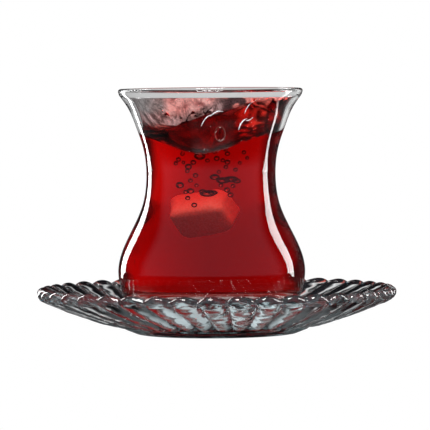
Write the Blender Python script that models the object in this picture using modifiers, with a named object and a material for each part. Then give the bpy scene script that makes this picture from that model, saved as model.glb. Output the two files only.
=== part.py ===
"""A waisted Turkish tea glass, filled with tea, on its ribbed pressed-glass saucer.

Real size, in metres, +Z up. The origin is on the surface that the saucer stands on,
under the middle of its foot. The front of the object looks along -Y.
"""

import math

import bpy
import numpy as np

MM = 0.001
COLLECTION_NAME = "turkish_tea_glass"

# Space left between pieces that touch on the real thing
CONTACT_GAP = 0.3 * MM
TEA_GAP = 0.4 * MM

# Distance below which two places count as one
TOLERANCE = 0.01 * MM

# Edges that bend more than this stay sharp in the shading
SHARP_ANGLE = math.radians(50.0)

# Saucer: height and radius of the foot, the well and the scalloped rim
SAUCER_RADIUS = 61.2 * MM
RIM_EDGE_HEIGHT = 14.1 * MM
RIM_TOP = 16.0 * MM
RIM_TOP_RADIUS = 58.6 * MM
WELL_TOP = 3.8 * MM
WELL_UNDERSIDE = 1.0 * MM
WELL_RADIUS = 24.5 * MM
FOOT_RADIUS = 26.9 * MM
FOOT_WIDTH = 2.9 * MM
FOOT_INNER_SLOPE = 1.0 * MM
FOOT_TOP_RADIUS = 31.0 * MM
FOOT_HEIGHT = 1.6 * MM

# Saucer: the top of the dish from the well to the rim's edge: (radius, height)
DISH_TOP = [
    (WELL_RADIUS, WELL_TOP),
    (30.0 * MM, 4.7 * MM),
    (38.0 * MM, 7.2 * MM),
    (46.0 * MM, 10.2 * MM),
    (53.0 * MM, 13.1 * MM),
    (RIM_TOP_RADIUS, RIM_TOP),
    (60.6 * MM, 15.7 * MM),
    (SAUCER_RADIUS, RIM_EDGE_HEIGHT),
]

# Saucer: the underside rises outside the foot as a parabola, cut into this many rings
DISH_SLOPE = 0.225
DISH_CURVE = 4.2
RIM_UNDERSIDE_RADIUS = 60.3 * MM
UNDERSIDE_STEPS = 3

# Saucer: swirling ribs that start above the foot and end in the rim's lobes
LOBES = 40
STEPS_PER_LOBE = 6
RIB_SWIRL_DEG = -6.0
RIB_LEAN = 0.78
RIB_DEPTH = 1.4 * MM
RIB_ROUNDNESS = 0.7
RIB_START_RADIUS = 33.2 * MM
RIB_END_LENGTH = 3.0 * MM
INNER_RIB_DEPTH = 0.4 * MM
LOBE_START_RADIUS = 54.0 * MM
LOBE_NOTCH_DEPTH = 1.4 * MM
LOBE_NOTCH_DROP = 0.8 * MM

# Glass: where it stands, and its height
GLASS_OFFSET_X = -1.6 * MM
GLASS_HEIGHT = 79.2 * MM
GLASS_SEGMENTS = 48
WALL_THICKNESS = 1.4 * MM

# Glass: outer radius at named heights above its own base
BELLY_RADIUS = 31.8 * MM
BELLY_HEIGHT = 17.0 * MM
RIM_RADIUS = 31.3 * MM
RIM_HEIGHT = 77.4 * MM
BASE_RADIUS = 21.5 * MM
BASE_CORNER_POWER = 1.8
BASE_CORNER_DEGREES = (22.0, 42.0, 58.0, 74.0)
BASE_EDGE = 0.6 * MM
BASE_RECESS = 0.8 * MM
BASE_RECESS_RADIUS = 17.5 * MM
BASE_RECESS_SLOPE = 0.8 * MM
INNER_WALL_STEPS = 9
OUTER_WALL_STEPS = 11

# Glass: the rounded bead at the rim, which stands a little proud of the wall
BEAD_RADIUS = 0.85 * MM
BEAD_PROUD = 0.1 * MM
BEAD_DEGREES = (150.0, 100.0, 50.0, 0.0)

# Glass: the thick base, whose inside is a shallow bowl with a round corner
BOWL_TOP = 16.0 * MM
BOWL_FLOOR = 7.0 * MM
BOWL_CORNER_POWER = 2.4
BOWL_STEPS = 6

# Tea: the level at the wall, and the heap in the middle, which leans to the right
TEA_LEVEL = 64.7 * MM
TEA_HIGHEST = 75.8 * MM
TEA_MIDDLE = 69.0 * MM
TEA_TILT = 0.25
TEA_WALL_POWER = 4.0
WAVE_BOTTOM = 50.0 * MM
TOP_STEPS = 6
TOP_CROWDING = 1.6
WAVE_STEPS = 5
SIDE_STEPS = 6

# Tea: swells of its edge round the wall: (direction in degrees, half width, height)
TEA_SWELLS = [
    (-98.0, 42.0, -7.0 * MM),
    (50.0, 38.0, 13.0 * MM),
    (150.0, 22.0, 4.0 * MM),
]


def clear_scene():
    """Remove whatever the scene holds."""
    for obj in list(bpy.data.objects):
        bpy.data.objects.remove(obj, do_unlink=True)


def make_collection():
    """The collection that holds the parts."""
    collection = bpy.data.collections.new(COLLECTION_NAME)
    bpy.context.scene.collection.children.link(collection)
    return collection


def make_material(name, color, roughness, transmission, ior):
    """A clear Principled material."""
    material = bpy.data.materials.new(name)
    material.use_nodes = True
    shader = material.node_tree.nodes["Principled BSDF"]
    shader.inputs["Base Color"].default_value = (*color, 1.0)
    shader.inputs["Roughness"].default_value = roughness
    shader.inputs["Metallic"].default_value = 0.0
    shader.inputs["Transmission Weight"].default_value = transmission
    shader.inputs["IOR"].default_value = ior
    material.diffuse_color = (*color, 1.0)
    return material


def smooth_step(value):
    """0 up to 0, 1 from 1, and an S curve between."""
    value = min(max(value, 0.0), 1.0)
    return value * value * (3.0 - 2.0 * value)


def spline_slopes(points):
    """Slopes at (position, value) points of the smooth cubic curve through them.

    The curve starts level at the first point and ends without bending at the last.
    """
    places = np.array(points)
    count = len(places)
    widths = np.diff(places[:, 0])
    rises = np.diff(places[:, 1]) / widths
    system = np.zeros((count, count))
    target = np.zeros(count)
    system[0, 0] = 1.0
    system[-1, -2] = 1.0
    system[-1, -1] = 2.0
    target[-1] = 3.0 * rises[-1]
    for index in range(1, count - 1):
        system[index, index - 1] = widths[index]
        system[index, index] = 2.0 * (widths[index - 1] + widths[index])
        system[index, index + 1] = widths[index - 1]
        target[index] = 3.0 * (widths[index] * rises[index - 1] + widths[index - 1] * rises[index])
    return list(np.linalg.solve(system, target))


def spline_value(points, slopes, position):
    """Value at a position on the smooth curve through (position, value) points."""
    index = 0
    while index < len(points) - 2 and position > points[index + 1][0]:
        index += 1
    width = points[index + 1][0] - points[index][0]
    t = (position - points[index][0]) / width
    square = t * t
    cube = square * t
    return (
        (2.0 * cube - 3.0 * square + 1.0) * points[index][1]
        + (cube - 2.0 * square + t) * slopes[index] * width
        + (3.0 * square - 2.0 * cube) * points[index + 1][1]
        + (cube - square) * slopes[index + 1] * width
    )


def superellipse_side(share, power):
    """The other half-axis share of a superellipse, where the first is given."""
    share = min(max(share, 0.0), 1.0)
    return (1.0 - share**power) ** (1.0 / power)


# Outer radius of the glass above its belly: (height, radius)
GLASS_OUTLINE = [
    (BELLY_HEIGHT, BELLY_RADIUS),
    (24.5 * MM, 30.2 * MM),
    (32.0 * MM, 26.65 * MM),
    (39.5 * MM, 23.4 * MM),
    (45.0 * MM, 22.25 * MM),
    (50.5 * MM, 21.95 * MM),
    (60.0 * MM, 23.2 * MM),
    (67.0 * MM, 25.6 * MM),
    (73.0 * MM, 28.2 * MM),
    (RIM_HEIGHT, RIM_RADIUS),
]
GLASS_SLOPES = spline_slopes(GLASS_OUTLINE)


def glass_outer_radius(height):
    """Outer radius of the glass at a height above its own base."""
    if height < BELLY_HEIGHT:
        share = (BELLY_HEIGHT - height) / BELLY_HEIGHT
        reach = superellipse_side(share, BASE_CORNER_POWER)
        return BASE_RADIUS + (BELLY_RADIUS - BASE_RADIUS) * reach
    return spline_value(GLASS_OUTLINE, GLASS_SLOPES, height)


def glass_inner_radius(height):
    """Radius of the inside wall, above the bowl of the thick base."""
    return glass_outer_radius(height) - WALL_THICKNESS


def bowl_height(radius):
    """Height of the inside of the thick base at a radius."""
    share = radius / glass_inner_radius(BOWL_TOP)
    drop = superellipse_side(share, BOWL_CORNER_POWER)
    return BOWL_TOP - (BOWL_TOP - BOWL_FLOOR) * drop


def spaced(start, end, steps):
    """Evenly spaced values, with both ends."""
    return [start + (end - start) * index / steps for index in range(steps + 1)]


def bowl_points(inset, drop_steps):
    """Inside of the thick base from the axis to the wall, moved inwards by an inset."""
    top_radius = glass_inner_radius(BOWL_TOP)
    points = [(0.0, BOWL_FLOOR + inset)]
    for index in range(1, drop_steps):
        angle = math.radians(90.0) * index / drop_steps
        radius = top_radius * math.sin(angle) ** (2.0 / BOWL_CORNER_POWER)
        height = bowl_height(radius)
        shrink = (top_radius - inset) / top_radius
        rise = inset * (BOWL_TOP - height) / (BOWL_TOP - BOWL_FLOOR)
        points.append((radius * shrink, height + rise))
    return points


def glass_profile():
    """The glass's section: up the inside, over the bead, down the outside, in to the axis."""
    points = bowl_points(0.0, BOWL_STEPS)
    for height in spaced(BOWL_TOP, RIM_HEIGHT, INNER_WALL_STEPS):
        points.append((glass_inner_radius(height), height))
    bead_centre = RIM_RADIUS - BEAD_RADIUS + BEAD_PROUD
    for degrees in BEAD_DEGREES:
        angle = math.radians(degrees)
        radius = bead_centre + BEAD_RADIUS * math.cos(angle)
        height = GLASS_HEIGHT - BEAD_RADIUS * (1.0 - math.sin(angle))
        points.append((radius, height))
    for height in spaced(RIM_HEIGHT, BELLY_HEIGHT, OUTER_WALL_STEPS):
        points.append((glass_outer_radius(height), height))
    for degrees in BASE_CORNER_DEGREES:
        height = BELLY_HEIGHT * (1.0 - math.sin(math.radians(degrees)))
        points.append((glass_outer_radius(height), height))
    points.append((BASE_RADIUS - BASE_EDGE, 0.0))
    points.append((BASE_RECESS_RADIUS + BASE_RECESS_SLOPE, 0.0))
    points.append((BASE_RECESS_RADIUS, BASE_RECESS))
    points.append((0.0, BASE_RECESS))
    return points


def tea_wall_radius(height):
    """Radius of the tea's side, clear of the glass."""
    return glass_inner_radius(height) - TEA_GAP


def tea_profile():
    """The tea's section: flat top, down the side, along the bowl to the axis.

    The rings of the top lie closer together towards the wall, where it bends most.
    """
    edge = tea_wall_radius(TEA_LEVEL)
    points = []
    for step in spaced(0.0, 1.0, TOP_STEPS):
        points.append((edge * (1.0 - (1.0 - step) ** TOP_CROWDING), TEA_LEVEL))
    heights = spaced(TEA_LEVEL, WAVE_BOTTOM, WAVE_STEPS)[1:]
    heights.extend(spaced(WAVE_BOTTOM, BOWL_TOP, SIDE_STEPS)[1:])
    for height in heights:
        points.append((tea_wall_radius(height), height))
    points.extend(reversed(bowl_points(TEA_GAP, BOWL_STEPS)))
    return points


def tea_edge(angle):
    """Height at which the tea's surface meets the wall in one direction."""
    height = TEA_LEVEL
    for direction, half_width, swell in TEA_SWELLS:
        away = (math.degrees(angle) - direction + 180.0) % 360.0 - 180.0
        height += swell * math.exp(-((away / half_width) ** 2))
    return min(height, TEA_HIGHEST)


def tea_surface(share, angle):
    """Height of the tea's moving surface at a share of the way from the axis to the wall."""
    edge = tea_edge(angle)
    middle = TEA_MIDDLE + TEA_TILT * share * tea_wall_radius(edge) * math.cos(angle)
    return middle + (edge - middle) * share**TEA_WALL_POWER


def dish_underside(radius):
    """Height of the crest of the ribs under the saucer's dish."""
    out = radius - FOOT_TOP_RADIUS
    return FOOT_HEIGHT + DISH_SLOPE * out + DISH_CURVE * out * out


def saucer_profile():
    """The saucer's section: across the top, over the rim, back under to the foot."""
    points = [(0.0, WELL_TOP)]
    points.extend(DISH_TOP)
    rib_end_radius = RIB_START_RADIUS + RIB_END_LENGTH
    for radius in spaced(RIM_UNDERSIDE_RADIUS, rib_end_radius, UNDERSIDE_STEPS):
        points.append((radius, dish_underside(radius)))
    points.append((RIB_START_RADIUS, dish_underside(RIB_START_RADIUS)))
    points.append((FOOT_TOP_RADIUS, FOOT_HEIGHT))
    points.append((FOOT_RADIUS, 0.0))
    points.append((FOOT_RADIUS - FOOT_WIDTH, 0.0))
    points.append((FOOT_RADIUS - FOOT_WIDTH - FOOT_INNER_SLOPE, WELL_UNDERSIDE))
    points.append((0.0, WELL_UNDERSIDE))
    return points


def lobe_curve(angle, roundness):
    """1 along the middle of a lobe and 0 in the groove beside it, leaning to one side."""
    turn = (angle / math.tau * LOBES) % 1.0
    return math.sin(math.pi * turn**RIB_LEAN) ** roundness


def rib_end(radius):
    """0 where a rib starts, rising to 1 along its rounded lower end."""
    share = (radius - RIB_START_RADIUS) / RIB_END_LENGTH
    share = min(max(share, 0.0), 1.0)
    return math.sqrt(1.0 - (1.0 - share) ** 2)


def turned_mesh(name, profile, segments):
    """The mesh of a closed profile turned about Z with a Screw modifier."""
    mesh = bpy.data.meshes.new(name + "_profile")
    edges = [(index, index + 1) for index in range(len(profile) - 1)]
    mesh.from_pydata([(radius, 0.0, height) for radius, height in profile], edges, [])
    guide = bpy.data.objects.new(name + "_guide", mesh)
    bpy.context.scene.collection.objects.link(guide)
    screw = guide.modifiers.new("Turn", "SCREW")
    screw.axis = "Z"
    screw.angle = math.tau
    screw.steps = segments
    screw.render_steps = segments
    screw.use_merge_vertices = True
    screw.merge_threshold = TOLERANCE
    bpy.context.view_layer.update()
    evaluated = guide.evaluated_get(bpy.context.evaluated_depsgraph_get())
    turned = bpy.data.meshes.new_from_object(evaluated)
    turned.name = name
    bpy.data.objects.remove(guide, do_unlink=True)
    return turned


def add_part(collection, name, mesh, material, location):
    """Place a finished mesh as one named part, shaded smooth."""
    mesh.materials.clear()
    mesh.materials.append(material)
    mesh.shade_smooth()
    mesh.set_sharp_from_angle(angle=SHARP_ANGLE)
    part = bpy.data.objects.new(name, mesh)
    part.location = location
    collection.objects.link(part)
    return part


def shape_tea(mesh):
    """Raise and lower the tea's flat top to its waves, and its side with it."""
    level_edge = tea_wall_radius(TEA_LEVEL)
    for vertex in mesh.vertices:
        point = vertex.co
        if point.z <= WAVE_BOTTOM:
            continue
        angle = math.atan2(point.y, point.x)
        edge_height = tea_edge(angle)
        if abs(point.z - TEA_LEVEL) < TOLERANCE:
            share = math.hypot(point.x, point.y) / level_edge
            radius = share * tea_wall_radius(edge_height)
            height = tea_surface(share, angle)
        else:
            climb = (point.z - WAVE_BOTTOM) / (TEA_LEVEL - WAVE_BOTTOM)
            height = WAVE_BOTTOM + climb * (edge_height - WAVE_BOTTOM)
            radius = tea_wall_radius(height)
        vertex.co = (radius * math.cos(angle), radius * math.sin(angle), height)


def shape_saucer(mesh):
    """Raise the ribs from the underside, cut the rim into lobes and swirl them both."""
    for vertex in mesh.vertices:
        point = vertex.co
        radius = math.hypot(point.x, point.y)
        if radius <= FOOT_RADIUS + TOLERANCE:
            continue
        angle = math.atan2(point.y, point.x)
        out = (radius - FOOT_TOP_RADIUS) / (SAUCER_RADIUS - FOOT_TOP_RADIUS)
        rise = smooth_step((radius - FOOT_TOP_RADIUS) / (RIB_START_RADIUS - FOOT_TOP_RADIUS))
        notch = 1.0 - lobe_curve(angle, 1.0)
        rim_share = smooth_step((radius - LOBE_START_RADIUS) / (SAUCER_RADIUS - LOBE_START_RADIUS))
        if point.z < dish_underside(radius) + TOLERANCE:
            rib = lobe_curve(angle, RIB_ROUNDNESS) * rib_end(radius)
            lift = RIB_DEPTH * rise * (1.0 - rib)
        else:
            lift = -notch * (INNER_RIB_DEPTH * rise + LOBE_NOTCH_DROP * rim_share)
        turned = angle + math.radians(RIB_SWIRL_DEG) * max(out, 0.0)
        reach = radius - notch * LOBE_NOTCH_DEPTH * rim_share
        vertex.co = (reach * math.cos(turned), reach * math.sin(turned), point.z + lift)


def build():
    """Make the three pieces and put them in their collection."""
    clear_scene()
    collection = make_collection()
    saucer_glass = make_material("saucer_glass", (0.86, 0.92, 0.93), 0.02, 0.9, 1.5)
    cup_glass = make_material("cup_glass", (0.93, 0.96, 0.96), 0.01, 0.95, 1.5)
    tea_liquid = make_material("tea_liquid", (0.52, 0.03, 0.02), 0.0, 0.7, 1.33)

    saucer = turned_mesh("saucer", saucer_profile(), LOBES * STEPS_PER_LOBE)
    shape_saucer(saucer)
    add_part(collection, "saucer", saucer, saucer_glass, (0.0, 0.0, 0.0))

    glass_place = (GLASS_OFFSET_X, 0.0, WELL_TOP + CONTACT_GAP)
    glass = turned_mesh("glass", glass_profile(), GLASS_SEGMENTS)
    add_part(collection, "glass", glass, cup_glass, glass_place)

    tea = turned_mesh("tea", tea_profile(), GLASS_SEGMENTS)
    shape_tea(tea)
    add_part(collection, "tea", tea, tea_liquid, glass_place)


build()
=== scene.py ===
"""Looks of a waisted tea glass on its ribbed pressed-glass saucer: clear glass, red tea,
a lump of sugar that sinks through it, and the bubbles that it leaves."""

import math

import bpy
import numpy as np
from mathutils import Euler, Matrix, Vector, noise


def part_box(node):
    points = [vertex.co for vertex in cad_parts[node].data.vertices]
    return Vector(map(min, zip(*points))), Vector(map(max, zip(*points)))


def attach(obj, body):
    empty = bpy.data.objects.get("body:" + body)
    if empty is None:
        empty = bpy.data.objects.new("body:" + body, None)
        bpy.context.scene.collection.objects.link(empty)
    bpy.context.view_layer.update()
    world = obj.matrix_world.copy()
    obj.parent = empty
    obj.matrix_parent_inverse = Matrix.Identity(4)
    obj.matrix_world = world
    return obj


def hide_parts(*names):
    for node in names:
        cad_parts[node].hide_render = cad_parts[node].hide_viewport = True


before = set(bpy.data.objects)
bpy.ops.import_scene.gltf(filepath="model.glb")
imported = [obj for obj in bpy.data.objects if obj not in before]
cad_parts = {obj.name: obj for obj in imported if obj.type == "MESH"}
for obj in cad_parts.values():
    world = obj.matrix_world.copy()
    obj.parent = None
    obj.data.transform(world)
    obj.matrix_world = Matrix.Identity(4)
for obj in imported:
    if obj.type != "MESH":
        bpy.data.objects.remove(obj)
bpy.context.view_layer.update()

MM = 0.001

# The photograph's frame, and where things lie in it
FRAME_PX = 430.0
MM_PER_PX = 0.34
AXIS_PX = 216.0
FOOT_PX = 333.4
EYE_LEVEL_PX = 17.0
CAMERA_DISTANCE = 1.569
CAMERA_ROLL = math.radians(-0.45)
SENSOR_MM = 36.0

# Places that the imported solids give
GLASS_LOW, GLASS_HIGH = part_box("glass")
GLASS_AXIS_X = 0.5 * (GLASS_LOW.x + GLASS_HIGH.x)
GLASS_BASE_Z = GLASS_LOW.z
GLASS_PLACE = (GLASS_AXIS_X, 0.0, GLASS_BASE_Z)

# Glass, in its own frame: the same outline as its solid
GLASS_HEIGHT = 79.2
WALL = 1.4
BELLY_RADIUS = 31.8
BELLY_HEIGHT = 17.0
BASE_RADIUS = 21.5
BASE_CORNER_POWER = 1.8
BASE_RECESS = 0.8
BASE_RECESS_RADIUS = 17.5
RIM_RADIUS = 31.3
RIM_HEIGHT = 77.4
BEAD_RADIUS = 0.85
BEAD_OUT = 0.1
BOWL_TOP = 16.0
BOWL_FLOOR = 7.0
BOWL_CORNER_POWER = 2.4
OUTLINE = np.array([
    (BELLY_HEIGHT, BELLY_RADIUS),
    (24.5, 30.2),
    (32.0, 26.65),
    (39.5, 23.4),
    (45.0, 22.25),
    (50.5, 21.95),
    (60.0, 23.2),
    (67.0, 25.6),
    (73.0, 28.2),
    (RIM_HEIGHT, RIM_RADIUS),
])

# Tea: it reaches just into the wall, and a wave runs up the wall at the back right
TEA_REACH = 0.15
TEA_LEVEL = 64.7
TEA_HIGHEST = 75.8
TEA_MIDDLE = 69.0
TEA_TILT = 0.25
TEA_WALL_POWER = 4.0

# Swells of the tea along the wall: direction and half width in degrees, height in mm
TEA_SWELLS = [(-98.0, 42.0, -7.0), (50.0, 38.0, 13.0), (150.0, 22.0, 4.0)]

# Ridges on the tea in mm: height, then start, bend and end in the plan, then width
TEA_RIDGES = [
    (2.0, (-4.0, -9.0), (0.0, -3.0), (5.0, -5.0), 1.3),
    (1.8, (9.0, -14.0), (11.0, -6.0), (15.0, 10.0), 1.2),
    (1.4, (-16.0, -4.0), (-8.0, 3.0), (0.0, 12.0), 1.5),
]

# Unevenness of the tea's surface: (height, size of a feature) in mm, choppy and slow
TEA_CHOP = (1.5, 4.6)
TEA_HEAVE = (0.5, 9.0)

# Mesh of the tea: points round it, rings across its top, and the height of its highest level ring
TEA_SEGMENTS = 300
TEA_TOP_RINGS = 90
TEA_EVEN_HEIGHT = BOWL_TOP + 12.0

# Painted highlights along the wave's crests: start, bend and end in the photograph, thickness in mm
CRESTS = [
    ((202.0, 125.0), (206.0, 114.0), (214.0, 114.0), 0.15),
    ((211.0, 115.5), (217.0, 109.5), (224.0, 111.0), 0.22),
    ((238.5, 128.5), (241.0, 119.0), (247.5, 117.5), 0.19),
    ((246.0, 119.5), (250.0, 119.5), (253.0, 116.5), 0.15),
    ((245.0, 113.0), (248.0, 104.0), (257.0, 101.5), 0.11),
]

# Mesh of the crests: points along each, and corners round it
CREST_STEPS = 33
CREST_SIDES = 10

# A flying drop: its place in the photograph, its half sizes and its gap to the wave in mm
DROP_PX = (220.5, 132.0)
DROP_SIZE = (1.85, 1.3, 2.7)
DROP_GAP = 0.8

# How far the clear sheet that carries the wave's painted shade and light stands off the tea, in mm
VEIL_LIFT = 0.15

# Film that the wave leaves on the wall: middle direction, half width and fading, in degrees
FILM_DIRECTION = 86.0
FILM_HALF_WIDTH = 84.0
FILM_FADE = 9.0

# The film's ragged top and its thickness in mm: least, mean, and change by streaks and lumps;
# rounds in which its surface is found
FILM_TOP = 77.5
FILM_RAGGED = 0.35
FILM_THINNEST = 0.2
FILM_MEAN = 1.5
FILM_STREAKS = 0.9
FILM_LUMPS = 1.3
FILM_ROUNDS = 3

# Hanging streaks: the x where they hang lowest, and how fast they rise left and right of it
STREAK_SAG = (-17.0, 0.074, 0.016)
VEIL_SAG = (-14.0, 0.08, 0.022)

# Painted shade of the veil, dark and light, that multiplies the light crossing it; above 1 it is
# painted light
WAVE_SHADES = ((0.14, 0.06, 0.08), (0.46, 0.20, 0.26))
FLECK_SHADES = ((0.16, 0.08, 0.09), (1.3, 0.95, 0.90))
FILM_SHADES = ((0.30, 0.20, 0.20), (1.0, 0.80, 0.82))
LUMP_SHADES = ((0.66, 0.27, 0.27), (1.5, 0.95, 0.92))
RIGHT_SHADES = ((0.14, 0.09, 0.10), (1.3, 0.66, 0.62))
BARE_SHADE = (0.54, 0.54, 0.55)

# Zones of the veil in mm: where each begins, and the width over which it grows
LIT_RIGHT = (7.0, 5.0)
LIT_LEFT = (-13.5, -4.0)
FILM_HIGH = (68.5, 2.0)
BARE_LEFT = (-14.5, -3.0)
BARE_HIGH = (69.5, 2.0)
BRIGHT_RIGHT = (10.5, 4.0)
BACK_RIGHT = (1.0, 5.0)
BACK_HALF = (-4.0, 6.0)

# Saucer
SAUCER_RADIUS = 61.2
RIM_EDGE_HEIGHT = 14.1
RIM_TOP = 16.0
RIM_TOP_RADIUS = 58.6
WELL_TOP = 3.8
WELL_RADIUS = 24.5
WELL_UNDERSIDE = 1.0
FOOT_RADIUS = 26.9
FOOT_TOP_RADIUS = 31.0
FOOT_HEIGHT = 1.6
DISH_SLOPE = 0.225
DISH_CURVE = 0.0042
RIM_UNDERSIDE_RADIUS = 60.3

# Saucer: swirling ribs that end in the rim's lobes
LOBES = 40
STEPS_PER_LOBE = 20
RIB_SWIRL_DEG = -6.0
RIB_LEAN = 0.78
RIB_DEPTH = 1.5
RIB_ROUNDNESS = 0.65
RIB_UNEVEN = 0.25
RIB_START_RADIUS = 33.2
RIB_END_LENGTH = 2.6
INNER_RIB_DEPTH = 0.55
LOBE_START_RADIUS = 53.0
NOTCH_DEPTH = 1.3
NOTCH_DROP = 0.8

# Sections of the saucer in mm, as (radius, height): dish, edge under the rim, foot and well
DISH_TOP = np.array([
    (WELL_RADIUS, WELL_TOP),
    (30.0, 4.7),
    (38.0, 7.2),
    (46.0, 10.2),
    (53.0, 13.1),
    (RIM_TOP_RADIUS, RIM_TOP),
])
EDGE_SECTION = [(61.1, 13.2), (60.8, 12.5)]
FOOT_SECTION = [(26.8, 0.12), (26.4, 0.0), (24.6, 0.0), (24.1, 0.1), (23.6, 0.5), (23.1, 0.9)]
WELL_SECTION = [(22.4, WELL_UNDERSIDE), (12.0, WELL_UNDERSIDE), (0.0, WELL_UNDERSIDE)]

# Sugar in mm: size, rounding, coarse and fine unevenness; its tilt, mesh and place in the photograph
SUGAR_SIZE = np.array([15.4, 15.0, 13.6])
SUGAR_CORNER = 3.4
SUGAR_LUMPS = 0.35
SUGAR_GRAINS = 0.10
SUGAR_TILT_DEG = (32.0, -14.0, -18.0)
SUGAR_STEPS = 26
SUGAR_PX = (203.5, 218.5)

# How much wider the round glass of tea shows what is sunk in its middle
LENS_WIDENING = 1.3


# Shared helpers


def smooth_step(value):
    """0 up to 0, 1 from 1, and an S curve between."""
    value = np.clip(value, 0.0, 1.0)
    return value * value * (3.0 - 2.0 * value)


def grown(value, start, width):
    """0 where a value is at its start, 1 a width farther on, and an S curve between."""
    return smooth_step((value - start) / width)


def turn_away(degrees, direction):
    """Signed turn in degrees from a direction, from -180 to 180."""
    return (degrees - direction + 180.0) % 360.0 - 180.0


def px_x(pixel):
    """Glass-frame x in mm of a column of the photograph."""
    return (pixel - AXIS_PX) * MM_PER_PX - GLASS_AXIS_X / MM


def px_z(pixel):
    """Glass-frame height in mm of a row of the photograph, at the glass's axis."""
    return (FOOT_PX - pixel) * MM_PER_PX - GLASS_BASE_Z / MM


def spline_slopes(points):
    """Slopes of the cubic curve that starts level at the first point."""
    count = len(points)
    widths = np.diff(points[:, 0])
    rises = np.diff(points[:, 1]) / widths
    system = np.zeros((count, count))
    target = np.zeros(count)
    system[0, 0] = 1.0
    system[-1, -2] = 1.0
    system[-1, -1] = 2.0
    target[-1] = 3.0 * rises[-1]
    for index in range(1, count - 1):
        system[index, index - 1] = widths[index]
        system[index, index] = 2.0 * (widths[index - 1] + widths[index])
        system[index, index + 1] = widths[index - 1]
        target[index] = 3.0 * (widths[index] * rises[index - 1] + widths[index - 1] * rises[index])
    return np.linalg.solve(system, target)


def spline_values(points, positions):
    """Values of the smooth curve through (position, value) points."""
    slopes = spline_slopes(points)
    index = np.clip(np.searchsorted(points[:, 0], positions) - 1, 0, len(points) - 2)
    width = points[index + 1, 0] - points[index, 0]
    t = (positions - points[index, 0]) / width
    square = t * t
    cube = square * t
    return (
        (2.0 * cube - 3.0 * square + 1.0) * points[index, 1]
        + (cube - 2.0 * square + t) * slopes[index] * width
        + (3.0 * square - 2.0 * cube) * points[index + 1, 1]
        + (cube - square) * slopes[index + 1] * width
    )


def outer_radius(height):
    """Outer radius of the glass at heights above its base."""
    height = np.asarray(height, float)
    share = np.clip((BELLY_HEIGHT - height) / BELLY_HEIGHT, 0.0, 1.0)
    corner = (1.0 - share**BASE_CORNER_POWER) ** (1.0 / BASE_CORNER_POWER)
    low = BASE_RADIUS + (BELLY_RADIUS - BASE_RADIUS) * corner
    high = spline_values(OUTLINE, np.maximum(height, BELLY_HEIGHT))
    return np.where(height < BELLY_HEIGHT, low, high)


def inner_radius(height):
    """Radius of the glass's inside wall above its bowl."""
    return outer_radius(height) - WALL


WALL_HEIGHTS = np.linspace(45.0, 78.0, 200)
WALL_RADII = inner_radius(WALL_HEIGHTS)


def wall_height(radius):
    """Height at which the flaring inside wall has a radius."""
    first = int(np.argmin(WALL_RADII))
    return np.interp(radius, WALL_RADII[first:], WALL_HEIGHTS[first:])


def bowl_profile(steps):
    """Inside of the thick base, from the axis out to the wall."""
    top_radius = float(inner_radius(BOWL_TOP))
    angle = np.linspace(0.0, math.pi / 2.0, steps, endpoint=False)
    share = np.sin(angle) ** (2.0 / BOWL_CORNER_POWER)
    drop = np.cos(angle) ** (2.0 / BOWL_CORNER_POWER)
    heights = BOWL_TOP - (BOWL_TOP - BOWL_FLOOR) * drop
    return list(zip(share * top_radius, heights))


def bent(start, bend, end, t):
    """Point at a share t of the curve from start to end that leans towards bend."""
    shares = ((1.0 - t) ** 2, 2.0 * t * (1.0 - t), t * t)
    return tuple(shares[0] * a + shares[1] * b + shares[2] * c for a, b, c in zip(start, bend, end))


def ring_points(angles, radius, height):
    """A ring of points: one angle each, at one radius and height or at one each."""
    return np.stack([radius * np.cos(angles), radius * np.sin(angles), height + 0.0 * angles], axis=-1)


def object_from(name, verts, faces, material, place=GLASS_PLACE):
    """A smooth-shaded mesh object; vertices in mm from its place."""
    mesh = bpy.data.meshes.new(name)
    mesh.from_pydata((np.asarray(verts) * MM).tolist(), [], faces)
    mesh.validate()
    mesh.update()
    mesh.shade_smooth()
    mesh.materials.append(material)
    obj = bpy.data.objects.new(name, mesh)
    obj.location = place
    bpy.context.scene.collection.objects.link(obj)
    return obj


def ring_quads(rings, segments):
    """Faces between rings of points, each ring with its points in turn."""
    here = np.arange(segments)
    after = (here + 1) % segments
    faces = []
    for ring in range(rings - 1):
        top = ring * segments
        low = top + segments
        faces.extend(np.stack([top + here, low + here, low + after, top + after], axis=1).tolist())
    return faces


def turned_grid(profile, segments):
    """Rings of a closed profile turned about Z: vertices and faces.

    The profile starts and ends on the axis and runs down its outer side.
    """
    inner = np.array(profile[1:-1])
    rings = len(inner)
    angles = np.linspace(0.0, math.tau, segments, endpoint=False)
    verts = ring_points(angles, inner[:, 0:1], inner[:, 1:2]).reshape(-1, 3)
    first_pole = len(verts)
    last_pole = first_pole + 1
    poles = np.array([(0.0, 0.0, profile[0][1]), (0.0, 0.0, profile[-1][1])])
    verts = np.vstack([verts, poles])
    here = np.arange(segments)
    after = (here + 1) % segments
    faces = ring_quads(rings, segments)
    last = (rings - 1) * segments
    faces.extend([(first_pole, int(a), int(b)) for a, b in zip(here, after)])
    faces.extend([(last_pole, int(last + b), int(last + a)) for a, b in zip(here, after)])
    return verts, faces


def paint(obj, name, colors):
    """Store a colour for each point of the object, for its material to read."""
    full = np.ones((len(obj.data.vertices), 4))
    full[:, :3] = colors
    attribute = obj.data.color_attributes.new(name, "FLOAT_COLOR", "POINT")
    attribute.data.foreach_set("color", full.ravel())


def settle(obj, slot, *nodes):
    """Ride a finished piece on the object and let it stand for its solid."""
    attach(obj, "root")
    if nodes:
        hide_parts(*nodes)
    return obj


# Shared node helpers

# Rays that have gone through the whole glass have crossed more surfaces than this
INNER_DEPTH = 5.0


def new_material(name):
    """A material with its node tree, Principled shader and output."""
    material = bpy.data.materials.new(name)
    material.use_nodes = True
    tree = material.node_tree
    return material, tree, tree.nodes["Principled BSDF"], tree.nodes["Material Output"]


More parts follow.
